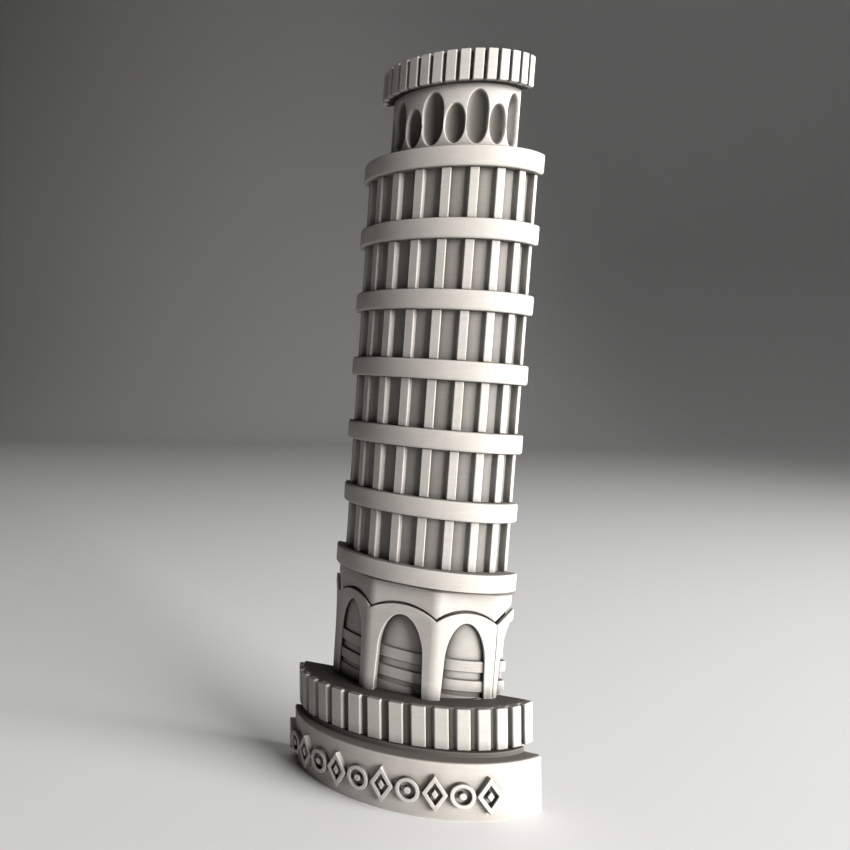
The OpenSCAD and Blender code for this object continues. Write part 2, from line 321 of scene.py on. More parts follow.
def blend(tree, kind, share, a, b):
    """Mixes two colours; share, a and b are sockets or values."""
    made = tree.nodes.new("ShaderNodeMix")
    made.data_type = "RGBA"
    made.blend_type = kind
    for label, value in ((0, share), (6, a), (7, b)):
        if hasattr(value, "is_linked"):
            tree.links.new(value, made.inputs[label])
        else:
            made.inputs[label].default_value = value
    return made.outputs[2]


stone, stone_in, stone_out = new_group(
    "cast stone",
    [
        ("Face Colour", "NodeSocketColor", (0.6, 0.56, 0.52, 1)),
        ("Shade Colour", "NodeSocketColor", (0.2, 0.18, 0.16, 1)),
        ("Line Depth", "NodeSocketFloat", 0.5),
        ("Mottle", "NodeSocketFloat", 0.5),
        ("Shade In Recesses", "NodeSocketFloat", 0.5),
        ("Shade On Ledges", "NodeSocketFloat", 0.5),
        ("Rubbing", "NodeSocketFloat", 0.4),
    ],
    [("Colour", "NodeSocketColor"), ("Roughness", "NodeSocketFloat"), ("Height", "NodeSocketFloat")],
)
place = node(stone, "ShaderNodeTexCoord")
spread = node(stone, "ShaderNodeSeparateXYZ")
stone.links.new(place.outputs["Object"], spread.inputs[0])

# level lines: stretched noise, a few tenths of a millimetre apart
stretch = node(stone, "ShaderNodeMapping")
stretch.inputs["Scale"].default_value = (160, 160, 3400)
stone.links.new(place.outputs["Object"], stretch.inputs["Vector"])
lines = node(stone, "ShaderNodeTexNoise", Scale=1.0, Detail=2.0, Roughness=0.55)
stone.links.new(stretch.outputs[0], lines.inputs["Vector"])
line_height = maths(stone, "SUBTRACT", lines.outputs["Fac"], 0.5)

# where the lines show: broad patches, so that they come and go
patches = node(stone, "ShaderNodeTexNoise", Scale=230.0, Detail=3.0, Roughness=0.6)
stone.links.new(place.outputs["Object"], patches.inputs["Vector"])
shown = node(stone, "ShaderNodeMapRange")
shown.inputs["From Min"].default_value = 0.35
shown.inputs["From Max"].default_value = 0.65
shown.inputs["To Min"].default_value = 0.35
stone.links.new(patches.outputs["Fac"], shown.inputs["Value"])

# grain and mottle
grain = node(stone, "ShaderNodeTexNoise", Scale=6500.0, Detail=3.0, Roughness=0.6)
stone.links.new(place.outputs["Object"], grain.inputs["Vector"])
mottle = node(stone, "ShaderNodeTexNoise", Scale=330.0, Detail=5.0, Roughness=0.62)
stone.links.new(place.outputs["Object"], mottle.inputs["Vector"])

# painted shade in recesses, on ledges that face up and in the niches; raised edges are rubbed
recess = node(stone, "ShaderNodeAmbientOcclusion", samples=8, Distance=2.2 * MM)
shade_mask = maths(stone, "SUBTRACT", 1.0, recess.outputs["AO"], clamp=True)
shade_mask = maths(stone, "MULTIPLY", shade_mask, stone_in.outputs["Shade In Recesses"], clamp=True)
# painted shade on faces that point up, where the low light doesn't reach
facing = node(stone, "ShaderNodeSeparateXYZ")
stone.links.new(place.outputs["Normal"], facing.inputs[0])
ledge = node(stone, "ShaderNodeMapRange", interpolation_type="SMOOTHSTEP")
ledge.inputs["From Min"].default_value = 0.25
ledge.inputs["From Max"].default_value = 0.9
stone.links.new(facing.outputs["Z"], ledge.inputs["Value"])
ledge_shade_mask = maths(stone, "MULTIPLY", ledge.outputs[0], stone_in.outputs["Shade On Ledges"], clamp=True)
shade_mask = maths(stone, "MAXIMUM", shade_mask, ledge_shade_mask)
# painted shade inside the belfry's niches, by how deep each point lies
hollow = node(stone, "ShaderNodeAttribute", attribute_name="hollow")
niche_shade_mask = maths(stone, "MULTIPLY", hollow.outputs["Fac"], 0.9)
shade_mask = maths(stone, "MAXIMUM", shade_mask, niche_shade_mask)
edge = node(stone, "ShaderNodeAmbientOcclusion", samples=8, inside=True, Distance=0.35 * MM)
edge_mask = maths(stone, "SUBTRACT", 1.0, edge.outputs["AO"], clamp=True)
edge_mask = maths(stone, "MULTIPLY", edge_mask, stone_in.outputs["Rubbing"], clamp=True)

mottled = maths(stone, "SUBTRACT", mottle.outputs["Fac"], 0.5)
mottled = maths(stone, "MULTIPLY", mottled, stone_in.outputs["Mottle"])
grained = maths(stone, "SUBTRACT", grain.outputs["Fac"], 0.5)
grained = maths(stone, "MULTIPLY", grained, 0.25)
lined = maths(stone, "MULTIPLY", line_height, stone_in.outputs["Line Depth"])
lined = maths(stone, "MULTIPLY", lined, shown.outputs[0])
tone = maths(stone, "ADD", maths(stone, "ADD", mottled, grained), maths(stone, "MULTIPLY", lined, 0.45))
tone = maths(stone, "ADD", tone, 1.0)

# the shade mask blends the painted shade colour into the face colour
colour = blend(stone, "MIX", shade_mask, stone_in.outputs["Face Colour"], stone_in.outputs["Shade Colour"])
colour = blend(stone, "SCREEN", edge_mask, colour, (0.25, 0.235, 0.22, 1))
toned = node(stone, "ShaderNodeVectorMath", operation="SCALE")
stone.links.new(colour, toned.inputs[0])
stone.links.new(tone, toned.inputs["Scale"])
stone.links.new(toned.outputs[0], stone_out.inputs["Colour"])

rough = maths(stone, "ADD", maths(stone, "MULTIPLY", mottle.outputs["Fac"], 0.25), 0.62)
rough = maths(stone, "SUBTRACT", rough, maths(stone, "MULTIPLY", edge_mask, 0.25), clamp=True)
stone.links.new(rough, stone_out.inputs["Roughness"])

height = maths(stone, "ADD", maths(stone, "MULTIPLY", lined, 0.75), maths(stone, "MULTIPLY", grained, 0.5))
height = maths(stone, "ADD", height, maths(stone, "MULTIPLY", mottled, 0.4))
stone.links.new(height, stone_out.inputs["Height"])
print("cast stone group:", len(stone.nodes), "nodes")


# %% The materials that use it
# how much of a face's red, green and blue is left where painted shade covers it
SHADE_SHARES = (0.15, 0.14, 0.125)


def cast_stone(name, face_colour, lines_shown, mottle_shown, recess_shade, ledge_shade, rubbing):
    """A cast stone material with its own colour and its own strengths of lines, mottle, painted shade and wear."""
    made = bpy.data.materials.new(name)
    made.use_nodes = True
    tree = made.node_tree
    shader = tree.nodes["Principled BSDF"]
    shader.inputs["Specular IOR Level"].default_value = 0.35
    pattern = tree.nodes.new("ShaderNodeGroup")
    pattern.node_tree = stone
    pattern.inputs["Face Colour"].default_value = face_colour
    pattern.inputs["Shade Colour"].default_value = [c * share for c, share in zip(face_colour, SHADE_SHARES)] + [1]
    pattern.inputs["Line Depth"].default_value = lines_shown
    pattern.inputs["Mottle"].default_value = mottle_shown
    pattern.inputs["Shade In Recesses"].default_value = recess_shade
    pattern.inputs["Shade On Ledges"].default_value = ledge_shade
    pattern.inputs["Rubbing"].default_value = rubbing
    tree.links.new(pattern.outputs["Colour"], shader.inputs["Base Color"])
    tree.links.new(pattern.outputs["Roughness"], shader.inputs["Roughness"])
    bump = tree.nodes.new("ShaderNodeBump")
    bump.inputs["Strength"].default_value = 0.6
    bump.inputs["Distance"].default_value = 0.08 * MM
    tree.links.new(pattern.outputs["Height"], bump.inputs["Height"])
    tree.links.new(bump.outputs["Normal"], shader.inputs["Normal"])
    return made


base_stone = cast_stone("base stone", (0.39, 0.362, 0.335, 1), 0.5, 0.25, 0.5, 0.9, 0.5)
ornament_stone = cast_stone("ornament stone", (0.43, 0.402, 0.375, 1), 0.25, 0.2, 2.0, 0.85, 0.7)
cornice_stone = cast_stone("cornice stone", (0.38, 0.355, 0.33, 1), 0.4, 0.25, 1.8, 0.85, 0.5)
# a darker copy of the stone: painted shade for the core and its courses, which lie behind the arches
core_stone = cast_stone("core stone", (0.32, 0.302, 0.28, 1), 0.6, 0.3, 2.2, 0.95, 0.25)
# a darker copy of the stone: painted shade for the gallery walls between the pilasters
wall_shade_stone = cast_stone("wall stone in painted shade", (0.215, 0.2, 0.184, 1), 0.6, 0.3, 1.2, 0.95, 0.25)
# a darker copy of the stone: painted shade for the neck, the walkway, the lip under the first cornice and the crown
# ring
groove_shade_stone = cast_stone("groove stone in painted shade", (0.1, 0.09, 0.079, 1), 0.5, 0.3, 1.2, 0.75, 0.2)
relief_stone = cast_stone("relief stone", (0.38, 0.355, 0.33, 1), 0.55, 0.25, 1.8, 0.9, 0.5)
FINISH = {
    "base_stone": base_stone,
    "ornament_stone": ornament_stone,
    "cornice_stone": cornice_stone,
    "core_stone": core_stone,
    "relief_stone": relief_stone,
}


def finish_piece(piece, node_name, slot_name, shade=None):
    """Gives the piece its slot's stone, or a shade of it, and puts it in its node's place."""
    piece.data.materials.append(shade or FINISH[slot_name])
    return stand_for(piece, node_name)


print(len(FINISH), "slots, and two darker shades for walls and grooves")

# %% [markdown]
# The plinth is a thick half-round slab with a slightly rounded top edge. It reaches the flat
# back in the middle, but both ends stop short of it, which shows at the right, where the slab
# ends in front of the balustrade's back. So its outline is drawn once, as a function of its
# radius, and the rings of the profile are stacked from that outline.

# %% The plinth
PLINTH_H = 7.4
PLINTH_R = 20.73
PLINTH_SQUASH = 0.593
PLINTH_X, PLINTH_BACK = 0.3, 2.78
END_BACK = -1.7
FULL_DEPTH_X = 16.5
plinth_place = level(PLINTH_X, PLINTH_BACK, PLINTH_SQUASH)


def soft_corner(before, corner, after, steps=5):
    """Points of a small curve that rounds off the corner between two nearby points."""
    shares = [k / steps for k in range(steps + 1)]
    trios = list(zip(before, corner, after))
    return [tuple((1 - t) ** 2 * a + 2 * t * (1 - t) * c + t * t * b for a, c, b in trios) for t in shares]


def stepped_course(bm, profile, x, back, squash, steps=150, ease=0.4):
    """A half-round course whose two ends stop short of the back plane, with a step behind each."""
    rings = []
    for r, h in profile:
        first = asin((back - END_BACK) / squash / r)
        ends = [(x + side * r * cos(first), END_BACK) for side in (1, -1)]
        start = first + ease / r
        sweep = [start + (pi - 2 * start) * k / steps for k in range(steps + 1)]
        arc = [(x + r * cos(a), back - squash * r * sin(a)) for a in sweep]
        right_corner = soft_corner((ends[0][0] - ease, END_BACK), ends[0], arc[0])
        left_corner = soft_corner(arc[-1], ends[1], (ends[1][0] + ease, END_BACK))
        outline = right_corner + arc[1:-1] + left_corner
        outline += [(-FULL_DEPTH_X, END_BACK), (-FULL_DEPTH_X, 0), (FULL_DEPTH_X, 0), (FULL_DEPTH_X, END_BACK)]
        rings.append([bm.verts.new(Vector((px, py, h)) * MM) for px, py in outline])
    for lower, upper in zip(rings, rings[1:]):
        for k in range(len(lower)):
            j = (k + 1) % len(lower)
            bm.faces.new((lower[k], lower[j], upper[j], upper[k]))
    bm.faces.new(reversed(rings[0]))
    bm.faces.new(rings[-1])


PLINTH_EASE, EASE_STEPS = 0.35, 6
top_edge_only = eased(PLINTH_R, 0, PLINTH_H, PLINTH_EASE, EASE_STEPS)[EASE_STEPS + 1:]
bm = bmesh.new()
plinth_profile = [(PLINTH_R, 0)] + top_edge_only
stepped_course(bm, plinth_profile, PLINTH_X, PLINTH_BACK, PLINTH_SQUASH, steps=200)
plinth = to_object("plinth_slab", bm, bevel=0)
finish_piece(plinth, "plinth", "base_stone")

# %% [markdown]
# The real plinth carries raised lettering. This one has a row of plain ornaments of the same
# height and stroke instead: lozenge frames and ringed roundels by turns. Each is drawn flat, as
# a ring of points with a hole, stepped finely along its outline, and every point is then laid
# on the curved face, so that the ornament bends with it.

# %% The frieze ornaments
FRIEZE_OUT = 1.0
FRIEZE_H = 4.8
FRIEZE_Z = 3.5
# width and height of a lozenge, of its hole and of its boss
LOZENGE = [(3.3, FRIEZE_H), (2.0, FRIEZE_H - 1.9), (0.9, 1.3)]
# radius of a roundel, of its hole and of its boss
ROUNDEL = [1.6, 1.08, 0.45]


def frieze_angle(i):
    """The angle on the plinth of ornament i, counted from the middle one, wider apart to the sides."""
    return radians(90) - radians(i * (9.85 + 0.018 * i * i))


def frieze_wide(a):
    """How much wider an ornament is drawn at angle a, to undo the flattening."""
    return 1 / sqrt(sin(a) ** 2 + (PLINTH_SQUASH * cos(a)) ** 2)


def on_plinth(a, x, z, out):
    """A point x along and z above the middle of the ornament at angle a, standing out from the face."""
    turn = a - x * frieze_wide(a) / PLINTH_R
    r = PLINTH_R + out
    return plinth_place(r * cos(turn), r * sin(turn), FRIEZE_Z + z)


def raised_outline(bm, a, outline, hole=None):
    """A raised shape on the plinth: a solid outline, or a frame between an outline and its hole."""
    def ring(points, out):
        return [bm.verts.new(on_plinth(a, x, z, out)) for x, z in points]

    low, high = -0.15, FRIEZE_OUT
    outer_low, outer_high = ring(outline, low), ring(outline, high)
    count = len(outline)
    loops = [(outer_low, outer_high)]
    if hole:
        hole_low, hole_high = ring(hole, low), ring(hole, high)
        loops.append((hole_high, hole_low))
        for k in range(count):
            j = (k + 1) % count
            bm.faces.new((outer_high[k], outer_high[j], hole_high[j], hole_high[k]))
            bm.faces.new((outer_low[j], outer_low[k], hole_low[k], hole_low[j]))
    else:
        bm.faces.new(outer_high)
        bm.faces.new(reversed(outer_low))
    for lower, upper in loops:
        for k in range(count):
            j = (k + 1) % count
            bm.faces.new((lower[k], lower[j], upper[j], upper[k]))


def lozenge(width, height, steps=6):
    """The outline of a lozenge, stepped along each side."""
    tips = [(width / 2, 0), (0, height / 2), (-width / 2, 0), (0, -height / 2)]
    points = []
    for (x0, z0), (x1, z1) in zip(tips, tips[1:] + tips[:1]):
        points += [(x0 + (x1 - x0) * k / steps, z0 + (z1 - z0) * k / steps) for k in range(steps)]
    return points


def disc(radius, steps=48):
    """The outline of a circle."""
    return [(radius * cos(2 * pi * k / steps), radius * sin(2 * pi * k / steps)) for k in range(steps)]


bm = bmesh.new()
for i in range(-6, 5, 2):
    raised_outline(bm, frieze_angle(i), lozenge(*LOZENGE[0]), lozenge(*LOZENGE[1]))
    raised_outline(bm, frieze_angle(i), lozenge(*LOZENGE[2], 2))
cut_flat_back(bm, END_BACK)
lozenges = to_object("frieze_lozenge_row", bm, bevel=0.09, segments=2)
finish_piece(lozenges, "frieze_lozenges", "ornament_stone")

bm = bmesh.new()
for i in range(-5, 4, 2):
    raised_outline(bm, frieze_angle(i), disc(ROUNDEL[0]), disc(ROUNDEL[1]))
    raised_outline(bm, frieze_angle(i), disc(ROUNDEL[2], 24))
cut_flat_back(bm, END_BACK)
roundels = to_object("frieze_roundel_row", bm, bevel=0.09, segments=2)
finish_piece(roundels, "frieze_roundels", "ornament_stone")

# %% [markdown]
# A narrow neck sets the balustrade off from the plinth with a line of shadow. The balustrade is
# a ring with a level walkway on top and a row of upright blocks standing out from its face. The
# blocks and the ring are separate pieces, as they are in the solid model.

# %% The neck and the balustrade
NECK_R = 17.7
NECK_SQUASH = 0.45
BALUSTRADE_LOW = 8.05
BALUSTRADE_TOP = 13.55
BALUSTRADE_R = 18.62
BALUSTRADE_GROOVE = 0.75
BALUSTRADE_SQUASH = 0.48
BALUSTRADE_X, BALUSTRADE_BACK = -0.55, 1.15
BLOCK_START, BLOCK_PITCH, BLOCK_HALF = 13.2, 10.15, 1.07
FIRST_RUN_ON = 1.06
balustrade_place = level(BALUSTRADE_X, BALUSTRADE_BACK, BALUSTRADE_SQUASH)
balustrade_back = BALUSTRADE_BACK / BALUSTRADE_SQUASH
ring_r = BALUSTRADE_R - BALUSTRADE_GROOVE

bm = bmesh.new()
stepped_course(bm, [(NECK_R, PLINTH_H), (NECK_R, BALUSTRADE_LOW)], 0, 0, NECK_SQUASH)
neck = to_object("neck_course", bm, bevel=0)
# the neck gets the darker copy, painted shade
finish_piece(neck, "neck", "core_stone", groove_shade_stone)

bm = bmesh.new()
half_round(bm, eased(ring_r, BALUSTRADE_LOW, BALUSTRADE_TOP, 0.15, 3), balustrade_place, balustrade_back)
ring = to_object("balustrade_walkway", bm, bevel=0.1, angle=40)
# the walkway gets the darker copy, painted shade
finish_piece(ring, "balustrade_ring", "core_stone", groove_shade_stone)

bm = bmesh.new()
for j in range(16):
    turn = radians(BLOCK_START + BLOCK_PITCH * j)
    # the first block, at the right end, runs on to the flat back
    run_on = FIRST_RUN_ON if j == 0 else 0
    ring_to_face = (ring_r - 0.6, BALUSTRADE_R)
    block(bm, balustrade_place, turn, BLOCK_HALF, *ring_to_face, BALUSTRADE_LOW, BALUSTRADE_TOP, run_on)
cut_flat_back(bm)
blocks = to_object("balustrade_block_row", bm, bevel=0.2, segments=4)
finish_piece(blocks, "balustrade_blocks", "relief_stone")

# %% [markdown]
# Behind the arches stands a round core with three low courses round it. They only show through
# the openings and at the two ends, but their shadow lines give the arcade its depth. The courses
# are bands laid round the core and sunk slightly into it, so that only the core makes the back.

# %% The core and its courses
CORE_R = 13.68
BAND_R = 14.18
OCTAGON_LOW = 16.1
core_flat = CORE_BACK / CORE_SQUASH


def cut_at_walkway(bm):
    """Takes off whatever lies below the level walkway."""
    cut_off(bm, (0, 0, BALUSTRADE_TOP * MM), (0, 0, -1))


bm = bmesh.new()
half_round(bm, [(CORE_R, 0), (CORE_R, OCTAGON_LOW)], core, core_flat)
cut_at_walkway(bm)
inner_core = to_object("core_drum", bm, bevel=0)
finish_piece(inner_core, "ground_core", "core_stone")

BAND_IN = CORE_R - 0.15
BAND_PROFILES = {
    "ground_band_1": [(BAND_IN, 9.45), (BAND_R, 9.45), (BAND_R, 10.95), (BAND_IN, 11.1)],
    "ground_band_2": [(BAND_IN, 6.75), (BAND_R, 6.75), (BAND_R, 8.25), (BAND_IN, 8.4)],
    "ground_band_3": [(BAND_IN, 0), (BAND_R, 0), (BAND_R, 5.3), (CORE_R + 0.2, 6.05), (BAND_IN, 6.05)],
}
for name, profile in BAND_PROFILES.items():
    bm = bmesh.new()
    half_ring(bm, profile, core, core_flat)
    cut_at_walkway(bm)
    course = to_object(name.replace("ground_band", "core_course"), bm, bevel=0.1, angle=40)
    # the courses get the darker core copy instead of their slot's stone, painted shade
    finish_piece(course, name, "relief_stone", core_stone)

# %% [markdown]
# The arcade is an eight-sided shell with one tall arch on each face and a scalloped top edge. It
# could be cut from a prism with boolean tools, but those leave ragged edges for the bevel. Here
# each face is laid as one strip of quads between the curve of its arch and the outline of the
# face, ten quads wide, and every point near a corner is moved onto a small fold, because the
# real corners are soft. The shell's inner side is the same grid stepped inwards: to the courses
# round the core below, and to the drum above. The grids of the two end faces don't meet those of
# the faces beside them, so a narrow strip of quads closes each of these two corners.

# %% The faces of the eight-sided storey
SHELL_R, SHELL_END_X = 13.43, 13.96
DRUM_CORNER_R, DRUM_END_X = 12.93, 13.5
FOLD = 0.8
COLUMNS = 10


class Face:
    """One flat face of the eight-sided storey, with a soft fold at each corner it shares."""

    def __init__(self, start, stop, fold_at_start, fold_at_stop):
        self.start, self.stop = Vector(start), Vector(stop)
        self.length = (self.stop - self.start).length
        self.along = (self.stop - self.start) / self.length
        self.normal = Vector((self.along.y, -self.along.x))
        self.folds = (fold_at_start, fold_at_stop)

    def spot(self, t):
        """The point at t along the face, moved onto the fold near a corner, and the normal there."""
        ends = ((self.start, t, -1, self.folds[0]), (self.stop, self.length - t, 1, self.folds[1]))
        for corner, away, side, fold in ends:
            if fold and away < FOLD:
                radius = FOLD / tan(fold / 2)
                bisector = Matrix.Rotation(side * fold / 2, 2) @ self.normal
                normal = Matrix.Rotation(-side * fold / 2 * max(away, 0) / FOLD, 2) @ bisector
                return corner - bisector * (radius / cos(fold / 2)) + normal * radius, normal
        return self.start + self.along * t, self.normal


def storey_faces(r, end_x):
    """The five front faces of the storey, from the right end to the left end."""
    corners = [(r * cos(radians(a)), r * sin(radians(a))) for a in (22.5, 67.5, 112.5, 157.5)]
    points = [(end_x, TOWER_BACK)] + corners + [(-end_x, TOWER_BACK)]
    splay = atan2(end_x - corners[0][0], corners[0][1] - TOWER_BACK)
    end_fold, front_fold = radians(45) - splay, radians(45)
    folds = [0, end_fold, front_fold, front_fold, end_fold, 0]
    return [Face(points[k], points[k + 1], folds[k], folds[k + 1]) for k in range(5)]


def outline_of(r, end_x, ease_steps=5):
    """The storey's outline as (u, v) points, with its soft folds."""
    points = []
    for face in storey_faces(r, end_x):
        stops = [FOLD * k / ease_steps for k in range(ease_steps + 1)]
        if not face.folds[0]:
            stops = [0]
        tail = [face.length - FOLD * k / ease_steps for k in range(ease_steps, 0, -1)]
        if not face.folds[1]:
            tail = [face.length]
        points += [face.spot(t)[0] for t in stops + tail]
    return points


def panel(bm, face, rows, place_pair, open_from, open_to, closed=(True, True)):
    """Lays a strip of quads between two curves on a face, outside and inside, and closes its rim.

    rows holds (t, s) on the inner curve and (t, s) on the outer curve. Between rows open_from
    and open_to the outer curve is a free edge and gets a rim; elsewhere it's a shared corner.
    closed says whether the first and the last row end in a wall of their own."""
    outer, inner = [], []
    for (t0, s0), (t1, s1) in rows:
        shares = [k / COLUMNS for k in range(COLUMNS + 1)]
        pairs = [place_pair(face, t0 + (t1 - t0) * share, s0 + (s1 - s0) * share) for share in shares]
        outer.append([bm.verts.new(front) for front, behind in pairs])
        inner.append([bm.verts.new(behind) for front, behind in pairs])
    last = len(rows) - 1
    for i in range(last):
        for k in range(COLUMNS):
            bm.faces.new((outer[i][k], outer[i + 1][k], outer[i + 1][k + 1], outer[i][k + 1]))
            bm.faces.new((inner[i][k], inner[i][k + 1], inner[i + 1][k + 1], inner[i + 1][k]))
        bm.faces.new((outer[i][0], inner[i][0], inner[i + 1][0], outer[i + 1][0]))
        if open_from <= i < open_to:
            bm.faces.new((outer[i][-1], outer[i + 1][-1], inner[i + 1][-1], inner[i][-1]))
    for i, wall in zip((0, last), closed):
        for k in range(COLUMNS if wall else 0):
            bm.faces.new((outer[i][k], outer[i][k + 1], inner[i][k + 1], inner[i][k]))


print("outline of", len(outline_of(SHELL_R, SHELL_END_X)), "points")

# %% The arcade
VALLEY, PEAK, END_PEAK = 16.13, 17.55, 18.3
ARCH_HALF, ARCH_FOOT_HALF, ARCH_SPRING, ARCH_TOP = 3.4, 3.65, 10.4, 16.15
END_ARCH_HALF, END_ARCH_FOOT_HALF, END_ARCH_SPRING, END_ARCH_TOP = 2.6, 2.7, 8.0, 16.65
FOOT = 5.0
# below this height the rows are spread to reach down to the level walkway
STRETCH_BELOW = 8
LEDGE = 0.55


def walkway(u):
    """Height along the axis at which the level walkway cuts the storey at u."""
    return (BALUSTRADE_TOP - PIVOT_Z + u * sin(LEAN)) / cos(LEAN)


def to_courses(u, v, normal):
    """How far a point of the shell is from the courses round the core, going straight in."""
    a2, b2 = BAND_R ** 2, (CORE_SQUASH * BAND_R) ** 2
    y, dy = AXIS_BACK - SQUASH * v - CORE_BACK, SQUASH * normal.y
    qa = normal.x ** 2 / a2 + dy ** 2 / b2
    qb = 2 * (-u * normal.x / a2 + y * dy / b2)
    qc = u * u / a2 + y * y / b2 - 1
    return max((-qb - sqrt(max(qb * qb - 4 * qa * qc, 0))) / (2 * qa), 0.3)


def shell_pair(face, t, s):
    """The outer point of the shell at t along a face and height s, and the inner point behind it."""
    point, normal = face.spot(t)
    if s < STRETCH_BELOW:
        foot = walkway(point.x)
        s = foot + (s - FOOT) * (STRETCH_BELOW - foot) / (STRETCH_BELOW - FOOT)
    depth = to_courses(point.x, point.y, normal) if s < OCTAGON_LOW else LEDGE
    behind = point - normal * depth
    behind.y = max(behind.y, TOWER_BACK)
    point.y = max(point.y, TOWER_BACK)
    return tower(point.x, point.y, s), tower(behind.x, behind.y, s)


def arc_points(half, low, high, steps):
    """A circular arc over a width of 2 half, from one low end over its high middle to the other."""
    rise = high - low
    radius = (half ** 2 + rise ** 2) / (2 * rise)
    reach = asin(half / radius)
    turns = [-reach + 2 * reach * k / steps for k in range(steps + 1)]
    return [(radius * sin(a), high - radius + radius * cos(a)) for a in turns]


def climb(low, high, steps):
    return [low + (high - low) * k / steps for k in range(steps)]


def front_rows(half):
    """Rows of a front face: up the left jamb, over the arch and down the right jamb."""
    lean_in = (ARCH_FOOT_HALF - ARCH_HALF) / (ARCH_SPRING - FOOT)
    jamb = [(-ARCH_FOOT_HALF + lean_in * (s - FOOT), s) for s in climb(FOOT, ARCH_SPRING, 8)]
    turns = [pi - pi * k / 40 for k in range(41)]
    arch = [(ARCH_HALF * cos(a), ARCH_SPRING + (ARCH_TOP - ARCH_SPRING) * sin(a)) for a in turns]
    inner_curve = jamb + arch + [(-t, s) for t, s in reversed(jamb)]
    side = [(-half, s) for s in climb(FOOT, ARCH_SPRING, 8) + climb(ARCH_SPRING, VALLEY, 8)]
    top_edge = arc_points(half, VALLEY, PEAK, 24)
    outer_curve = side + top_edge + [(-t, s) for t, s in reversed(side)]
    return [((t0 + half, s0), (t1 + half, s1)) for (t0, s0), (t1, s1) in zip(inner_curve, outer_curve)]


def end_rows(length):
    """Rows of the right end face, from the flat back over half an arch and down its front jamb."""
    turns = [pi / 2 - pi / 2 * k / 20 for k in range(21)]
    rise = END_ARCH_TOP - END_ARCH_SPRING
    arch = [(END_ARCH_HALF * cos(a), END_ARCH_SPRING + rise * sin(a)) for a in turns]
    drop = [END_ARCH_SPRING - (END_ARCH_SPRING - FOOT) * k / 6 for k in range(1, 7)]
    lean_out = (END_ARCH_FOOT_HALF - END_ARCH_HALF) / (END_ARCH_SPRING - FOOT)
    jamb = [(END_ARCH_HALF + lean_out * (END_ARCH_SPRING - s), s) for s in drop]
    slope = [(length * k / 12, END_PEAK + (VALLEY - END_PEAK) * k / 12) for k in range(13)]
    corner = [(length, VALLEY + (END_ARCH_SPRING - VALLEY) * k / 8) for k in range(1, 9)] + [(length, s) for s in drop]
    return list(zip(arch + jamb, slope + corner))


bm = bmesh.new()
shell_faces = storey_faces(SHELL_R, SHELL_END_X)
panel(bm, shell_faces[0], end_rows(shell_faces[0].length), shell_pair, 0, 12)
for face in shell_faces[1:4]:
    panel(bm, face, front_rows(face.length / 2), shell_pair, 16, 40)
width = shell_faces[4].length
mirrored = [((width - t0, s0), (width - t1, s1)) for (t0, s0), (t1, s1) in end_rows(width)]
panel(bm, shell_faces[4], mirrored, shell_pair, 0, 12)
bmesh.ops.remove_doubles(bm, verts=bm.verts, dist=1e-7)
# close the narrow gap between each end face and its neighbour
for side in (-1, 1):
    open_corner = [e for e in bm.edges if e.is_boundary and e.verts[0].co.x * side > 0]
    bmesh.ops.bridge_loops(bm, edges=open_corner)
print("open edges left in the arcade:", sum(edge.is_boundary for edge in bm.edges))
arcade = to_object("arcade_arches", bm, bevel=0.1, segments=3, angle=40)
finish_piece(arcade, "arcade_shell", "relief_stone")

# %% [markdown]
# Over the scalloped edge rises an eight-sided drum, parted from the arcade by a narrow, deep
# groove that follows the scallops and reads as a dark line. So the drum is built as a body set
# back a little, with a skin in front of it whose lower edge follows the scallops just above
# them. A thin lip at its top carries the first, plain cornice.

# %% The eight-sided drum, its lip and the first cornice
OCTAGON_TOP = 20.15
LIP_R, LIP_END_X = 13.4, 14.0
FIRST_LOW, FIRST_TOP, FIRST_R = 20.65, 23.1, 14.1


def prism(bm, outline, low, high, place):
    """An upright prism over an outline of (u, v) points."""
    bottom = [bm.verts.new(place(u, v, low)) for u, v in outline]
    top_ring = [bm.verts.new(place(u, v, high)) for u, v in outline]
    bm.faces.new(bottom)
    bm.faces.new(reversed(top_ring))
    count = len(outline)
    for k in range(count):
        j = (k + 1) % count
        bm.faces.new((bottom[k], bottom[j], top_ring[j], top_ring[k]))


GROOVE_GAP, GROOVE_DEPTH = 0.3, 0.7


def skin_pair(face, t, s):
    """A point of the drum's skin, and the point behind it at the bottom of the groove."""
    point, normal = face.spot(t)
    behind = point - normal * (GROOVE_DEPTH + 0.1)
    behind.y = max(behind.y, TOWER_BACK)
    point.y = max(point.y, TOWER_BACK)
    return tower(point.x, point.y, s), tower(behind.x, behind.y, s)


bm = bmesh.new()
set_back = outline_of(DRUM_CORNER_R - GROOVE_DEPTH, DRUM_END_X - GROOVE_DEPTH)
prism(bm, set_back, OCTAGON_LOW, OCTAGON_TOP, tower)
drum_faces = storey_faces(DRUM_CORNER_R, DRUM_END_X)
for index, face in enumerate(drum_faces):
    ratio = face.length / shell_faces[index].length
    if index in (1, 2, 3):
        half = shell_faces[index].length / 2
        lower = [((t + half) * ratio, s) for t, s in arc_points(half, VALLEY, PEAK, 40)]
    else:
        lower = [(face.length * k / 12, END_PEAK + (VALLEY - END_PEAK) * k / 12) for k in range(13)]
        if index == 4:
            lower = [(face.length - t, s) for t, s in lower]
    at_back = (index in (0, 4), False)
    skin_rows = [((t, s + GROOVE_GAP), (t, OCTAGON_TOP)) for t, s in lower]
    panel(bm, face, skin_rows, skin_pair, 0, len(lower) - 1, at_back)
bmesh.ops.remove_doubles(bm, verts=bm.verts, dist=1e-7)
octagon_drum = to_object("octagon_wall", bm, bevel=0.05, segments=2, angle=40)
finish_piece(octagon_drum, "octagon_drum", "relief_stone")

